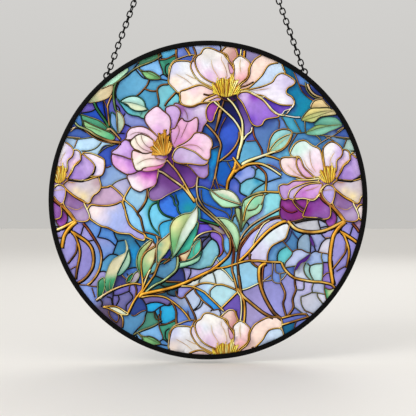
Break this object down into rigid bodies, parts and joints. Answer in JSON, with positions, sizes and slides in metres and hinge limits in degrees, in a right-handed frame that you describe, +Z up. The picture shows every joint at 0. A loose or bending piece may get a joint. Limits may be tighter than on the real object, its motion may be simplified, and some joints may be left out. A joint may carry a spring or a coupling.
{
  "type": "stained glass suncatcher",
  "caption": "Round painted-glass suncatcher with raised gold outlines in a black metal channel, hung by a two-legged chain from a wire ring.",
  "frame": {"origin": "the point inside the top of the hanging ring where a hook or nail bears", "axes": "+Z up, along the drop of the chain; +Y to the back, through the glass; +X to the right of the front face, which looks along -Y"},
  "size_m": [0.2, 0.0056, 0.3581],
  "materials": {
    "rim_black": "satin black enamel on a rolled steel channel",
    "painted_glass": "clear sheet glass painted in milky glass colours between raised outlines, glossy",
    "chain_black": "black-plated steel wire, satin",
    "outline_gold": "raised outlines and stems in metallic gold relief paint, satin",
    "outline_dark": "dark brown-black trace lines fired under and beside the gold"
  },
  "bodies": {
    "root": {"rim_channel": "rim_black", "glass_disc": "painted_glass", "eye_left": "chain_black", "eye_right": "chain_black", "chain_left": "chain_black", "chain_right": "chain_black", "hanging_ring": "chain_black"}
  },
  "joints": []
}
